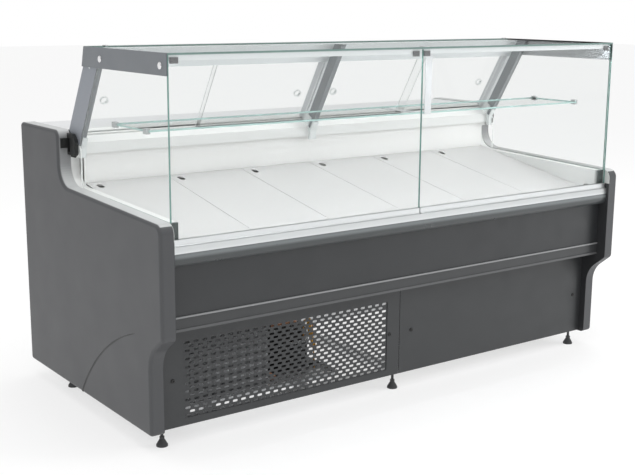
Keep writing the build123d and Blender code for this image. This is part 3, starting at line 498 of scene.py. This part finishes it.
dress(side_panel_material(), "left_side_panel", "right_side_panel")
dress(coated("trim_black", (0.012, 0.013, 0.013), (0.35, 0.5)), "dark_trims")
liner = coated("liner_white", (0.86, 0.86, 0.85), (0.30, 0.42), 500, 0.00005, 0.02)
dress(liner, "insulated_tub", "duct_panel")
deck_steel = coated("deck_white", (0.60, 0.60, 0.597), (0.40, 0.46), 400, 0.00004, 0.012)
dress(deck_steel, "deck_panels")
dress(end_wall_material(), "end_walls")
dress(galvanised_material(), "base_frame", "evaporator_fan_plate", "unit_tray", "rear_panel")
feet = [f"foot_{row}_{side}" for row in ("front", "rear") for side in ("left", "middle", "right")]
dress(foot_material(), *feet)
plinth = coated("plinth_grey", (0.034, 0.036, 0.038), (0.33, 0.45), 900, 0.00007)
dress(plinth, "plinth_grille_panel", "plinth_blank_panel")
dress(coated("grille_grey", (0.034, 0.036, 0.038), (0.35, 0.48)), "perforated_grille")
dress(coated("screw_black", (0.012, 0.012, 0.012), (0.25, 0.4), 300), "plinth_screws")
dress(coated("fascia_grey", (0.027, 0.029, 0.031), (0.30, 0.42)), "fascia_panel")
dress(fascia_rail_material(), "fascia_rail")
dress(bumper_material(), "bumper_rail")
dress(metal("sill_aluminium", (0.74, 0.765, 0.77), (0.30, 0.42)),
      "glass_sill", "left_pane_profile", "right_pane_profile")
dress(post_material(), "left_post", "middle_post", "right_post")
dress(metal("top_rail_aluminium", (0.76, 0.79, 0.80), (0.30, 0.42), metallic=0.3), "top_rail")
dress(metal("beam_pale", (0.82, 0.83, 0.82), (0.36, 0.48), metallic=0.25), "rear_beam")
dress(coated("shoe_pale", (0.72, 0.75, 0.75), (0.3, 0.42), 500), "post_shoes")
dress(bracket_material(), "top_brackets")
dress(chrome_material(), "glass_fixing_caps")
dress(clamp_material(), "glass_clamps")
dress(lamp_material(), "lamp_housing")
dress(coated("hanger_white", (0.60, 0.61, 0.62), (0.3, 0.42), 500), "shelf_hanger")
dress(fin_material("evaporator_fins", (0.62, 0.64, 0.66), (0.3, 0.45)), "evaporator")
dress(coated("fan_black", (0.015, 0.015, 0.016), (0.4, 0.55), 400),
      "evaporator_fan_left", "evaporator_fan_right", "condenser_fan")
dress(coated("drain_grey", (0.30, 0.31, 0.32), (0.4, 0.55), 400), "drain_pipe")
dress(metal("worktop_steel", (0.80, 0.81, 0.82), (0.28, 0.40), metallic=0.35), "worktop")
dress(coated("control_black", (0.03, 0.03, 0.032), (0.45, 0.6), 1200, 0.0001), "control_box")
dress(coated("switch_black", (0.012, 0.012, 0.012), (0.12, 0.2), 300), "rocker_switch")
dress(coated("shroud_grey", (0.40, 0.41, 0.42), (0.35, 0.5), 700), "fan_shroud")
dress(fin_material("condenser_fins", (0.34, 0.35, 0.36), (0.35, 0.5)), "condenser")
dress(compressor_material(), "compressor")
dress(copper_material(), "pipework")

door_normal = (0, math.cos(POST_LEAN), math.sin(POST_LEAN))
dress(glass_material("front_glass", (0, 1, 0)), "left_front_pane", "right_front_pane")
dress(glass_material("top_glass", (0, 0, 1), (0.12, 0.185, 0.17)), "top_glass")
dress(glass_material("shelf_glass", (0, 0, 1), (0.30, 0.42, 0.40)), "glass_shelf")
dress(glass_material("end_glass", (1, 0, 0), pale_behind=cad_low.y + 0.45),
      "left_end_glass", "right_end_glass")
dress(glass_material("door_glass", door_normal, (0.66, 0.70, 0.69)),
      "left_bay_outer_door", "left_bay_inner_door", "right_bay_inner_door", "right_bay_outer_door")


# ---------------------------------------------------------------- detail pieces
def add_box(mesh, low, high):
    """Adds a box between two corners to an open mesh."""
    middle = (Vector(low) + Vector(high)) / 2
    size = Vector(high) - Vector(low)
    bmesh.ops.create_cube(mesh, size=1, matrix=Matrix.Translation(middle) @ Matrix.Diagonal((*size, 1)))


def add_rod(mesh, start, end, radius, segments=16):
    """Adds a closed round bar between two points to an open mesh."""
    run = Vector(end) - Vector(start)
    turn = run.to_track_quat("Z", "Y").to_matrix().to_4x4()
    place = Matrix.Translation((Vector(start) + Vector(end)) / 2) @ turn
    bmesh.ops.create_cone(mesh, cap_ends=True, segments=segments, radius1=radius, radius2=radius,
                          depth=run.length, matrix=place)


def finished(name, mesh, material, smooth=False):
    """Turns an open mesh into an object that rides on the case."""
    data = bpy.data.meshes.new(name)
    mesh.to_mesh(data)
    mesh.free()
    data.materials.append(material)
    data.polygons.foreach_set("use_smooth", [smooth] * len(data.polygons))
    made = bpy.data.objects.new(name, data)
    bpy.context.collection.objects.link(made)
    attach(made, "case")


def condenser_face():
    """Two rows of level tubes, the front one standing half out of the condenser's fins."""
    low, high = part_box("condenser")
    pitch = 0.0265
    radius = 0.0055
    end_gap = 0.003
    lowest = low.z + 0.018
    front_row = low.y - 0.0005
    rear_row = front_row + 0.012
    count = int((high.z - low.z - 0.03) // pitch) + 1
    mesh = bmesh.new()
    for index in range(count):
        height = lowest + index * pitch
        for row, level in ((front_row, height), (rear_row, height + pitch / 2)):
            add_rod(mesh, (low.x + end_gap, row, level), (high.x - end_gap, row, level), radius)
    tubes = metal("condenser_tube", (0.62, 0.63, 0.65), (0.3, 0.45), metallic=0.4)
    finished("condenser_tubes", mesh, tubes, True)


def compressor_seam():
    """Raised weld line round the compressor's shell."""
    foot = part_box("compressor")[0].z
    middle = Vector((COMPRESSOR_X, cad_low.y + COMPRESSOR_BEHIND, foot + WELD_HEIGHT))
    half = Vector((0, 0, WELD_HALF))
    mesh = bmesh.new()
    add_rod(mesh, middle - half, middle + half, COMPRESSOR_RADIUS + WELD_STANDS_OUT, 64)
    seam = coated("weld_seam", (0.03, 0.03, 0.032), (0.3, 0.5), 200, 0.0002)
    finished("compressor_weld", mesh, seam, True)


def unit_leads():
    """Two orange leads side by side, and the pale pipe that crosses in front of the compressor."""
    mesh = bmesh.new()
    for offset in (-0.004, 0.004):
        top = (-0.307 + offset, LEAD_FRONT, 0.290)
        bend = (-0.300 + offset, LEAD_FRONT, 0.235)
        over_bend = (-0.300 + offset, LEAD_FRONT, 0.236)
        bottom = (-0.279 + offset, LEAD_FRONT, 0.175)
        add_rod(mesh, top, bend, LEAD_RADIUS)
        add_rod(mesh, over_bend, bottom, LEAD_RADIUS)
    finished("orange_leads", mesh, coated("lead_orange", (0.78, 0.42, 0.06), (0.35, 0.5), 200), True)
    mesh = bmesh.new()
    add_rod(mesh, (-0.386, LEAD_FRONT, 0.211), (-0.313, LEAD_FRONT, 0.211), LEAD_RADIUS)
    finished("pale_pipe", mesh, coated("pipe_pale", (0.75, 0.77, 0.78), (0.3, 0.4), 200), True)


def control_display():
    """Blank dark window in the control box's recess."""
    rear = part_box("control_box")[1].y
    mesh = bmesh.new()
    add_box(mesh, (WINDOW_X[0], rear - 0.0022, WINDOW_Z[0]), (WINDOW_X[1], rear - 0.0008, WINDOW_Z[1]))
    window = coated("display_window", (0.006, 0.006, 0.008), (0.05, 0.10), 50, 0.00001)
    finished("control_display", mesh, window)


def rear_screws():
    """Pan-head screws along the top and the bottom of the rear panel."""
    low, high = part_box("rear_panel")
    mesh = bmesh.new()
    for height in (low.z + 0.025, high.z - 0.045):
        for x in SCREW_ROW:
            add_rod(mesh, (x, high.y - 0.0003, height), (x, high.y + 0.002, height), SCREW_RADIUS)
    finished("rear_panel_screws", mesh, chrome_material(), True)


condenser_face()
compressor_seam()
unit_leads()
control_display()
rear_screws()


# ---------------------------------------------------------------- camera, floor and light
def make_camera():
    """The viewpoint: ahead of the case's left end, a little above its glass."""
    yaw, pitch, roll = (math.radians(angle) for angle in (CAMERA_YAW, CAMERA_PITCH, CAMERA_ROLL))
    level = math.cos(pitch)
    forward = Vector((math.sin(yaw) * level, math.cos(yaw) * level, -math.sin(pitch)))
    level_right = forward.cross(Vector((0, 0, 1))).normalized()
    level_up = level_right.cross(forward)
    right = math.cos(roll) * level_right + math.sin(roll) * level_up
    up = -math.sin(roll) * level_right + math.cos(roll) * level_up
    data = bpy.data.cameras.new("camera")
    data.lens = CAMERA_LENS
    data.sensor_width = CAMERA_SENSOR
    camera = bpy.data.objects.new("camera", data)
    bpy.context.collection.objects.link(camera)
    turn = Matrix((right, up, -forward)).transposed()
    camera.matrix_world = Matrix.Translation(CAMERA_PLACE) @ turn.to_4x4()
    bpy.context.scene.camera = camera


def make_floor():
    """Plain pale floor that glows a little, so that hardly any shadow shows on it."""
    corner_signs = ((-1, -1), (1, -1), (1, 1), (-1, 1))
    floor_corners = [(x * FLOOR_HALF, y * FLOOR_HALF, 0) for x, y in corner_signs]
    mesh = bpy.data.meshes.new("floor")
    mesh.from_pydata(floor_corners, [], [(0, 1, 2, 3)])
    floor = bpy.data.objects.new("floor", mesh)
    bpy.context.collection.objects.link(floor)
    surface = Surface("floor_pale")
    surface.colour(surface.varied((0.38, 0.38, 0.38), 0.005, 0.5))
    surface.constant(Roughness=0.8, Specular_IOR_Level=0.1)
    surface.constant(Emission_Color=(1, 1, 1, 1), Emission_Strength=0.58)
    mesh.materials.append(surface.material)


def soft_light(name, place, target, width, height, power):
    """White rectangular lamp that looks at its target and shows in no reflection."""
    data = bpy.data.lights.new(name, "AREA")
    data.shape = "RECTANGLE"
    data.size = width
    data.size_y = height
    data.energy = power
    lamp = bpy.data.objects.new(name, data)
    lamp.location = place
    lamp.rotation_euler = (Vector(target) - Vector(place)).to_track_quat("-Z", "Y").to_euler()
    lamp.visible_glossy = False
    bpy.context.collection.objects.link(lamp)


def make_light():
    """Sky that the camera sees as white and the case as a dome brighter overhead, with three soft lamps."""
    world = bpy.data.worlds.new("studio")
    world.use_nodes = True
    tree = world.node_tree
    background = tree.nodes["Background"]
    direction = tree.nodes.new("ShaderNodeSeparateXYZ")
    tree.links.new(tree.nodes.new("ShaderNodeTexCoord").outputs["Generated"], direction.inputs[0])
    dome = tree.nodes.new("ShaderNodeMapRange")
    limits = {"From Min": 0.0, "From Max": 0.9, "To Min": HORIZON_LIGHT, "To Max": SKY_LIGHT}
    for socket, number in limits.items():
        dome.inputs[socket].default_value = number
    tree.links.new(direction.outputs["Z"], dome.inputs["Value"])
    seen = tree.nodes.new("ShaderNodeMix")
    tree.links.new(tree.nodes.new("ShaderNodeLightPath").outputs["Is Camera Ray"], seen.inputs["Factor"])
    tree.links.new(dome.outputs["Result"], seen.inputs[2])
    seen.inputs[3].default_value = 1.0
    background.inputs["Color"].default_value = (1, 1, 1, 1)
    tree.links.new(seen.outputs[0], background.inputs["Strength"])
    bpy.context.scene.world = world
    soft_light("overhead", (0, 0, 4.2), (0, 0, 0), 5, 4, 50)
    soft_light("front_left", (-4.5, -1.5, 3.4), (-1, 0, 0.9), 3, 2.5, 45)
    soft_light("far_right", (4.6, -3.4, 1.9), (0.6, -0.5, 0.7), 2.5, 2.5, 190)
    bpy.context.scene.view_settings.view_transform = "Standard"


make_camera()
make_floor()
make_light()
